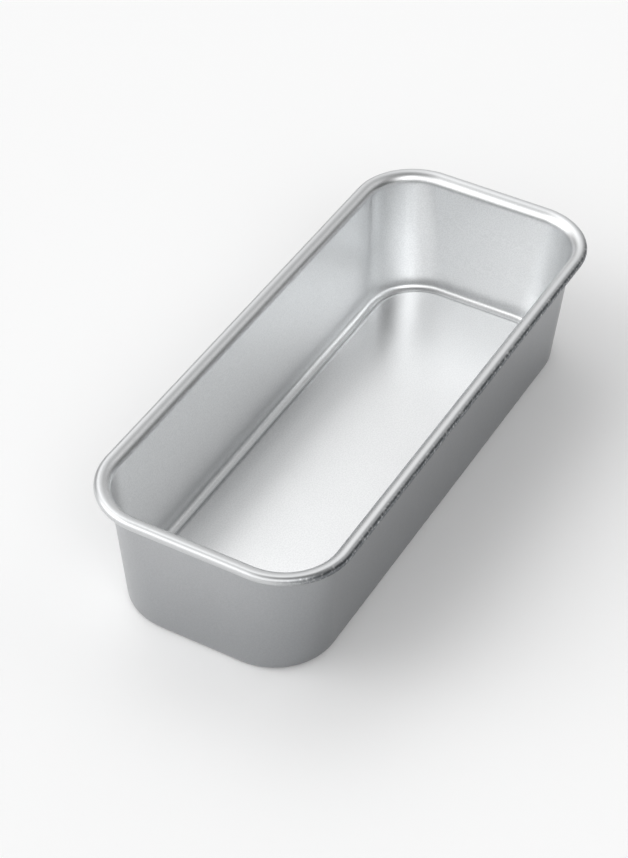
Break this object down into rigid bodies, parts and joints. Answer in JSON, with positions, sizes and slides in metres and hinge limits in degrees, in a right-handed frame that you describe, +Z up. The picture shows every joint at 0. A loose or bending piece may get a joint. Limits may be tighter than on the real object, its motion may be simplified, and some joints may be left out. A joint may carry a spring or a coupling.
{
  "type": "loaf pan",
  "caption": "Open aluminium loaf pan with leaning walls, rounded corners, a raised floor panel and a flared rim curled round a hidden steel wire.",
  "frame": {"origin": "middle of the pan on the surface that it stands on", "axes": "+X along the pan's length, +Y across it, +Z up out of its open mouth"},
  "size_m": [0.25, 0.103, 0.057],
  "materials": {
    "pan_sheet": "satin drawn aluminium with fine draw marks, brighter where the rim curl was burnished",
    "wire_steel": "drawn, thinly galvanised, hidden in the curl"
  },
  "bodies": {
    "root": {"pan_shell": "pan_sheet", "rim_wire": "wire_steel"}
  },
  "joints": []
}
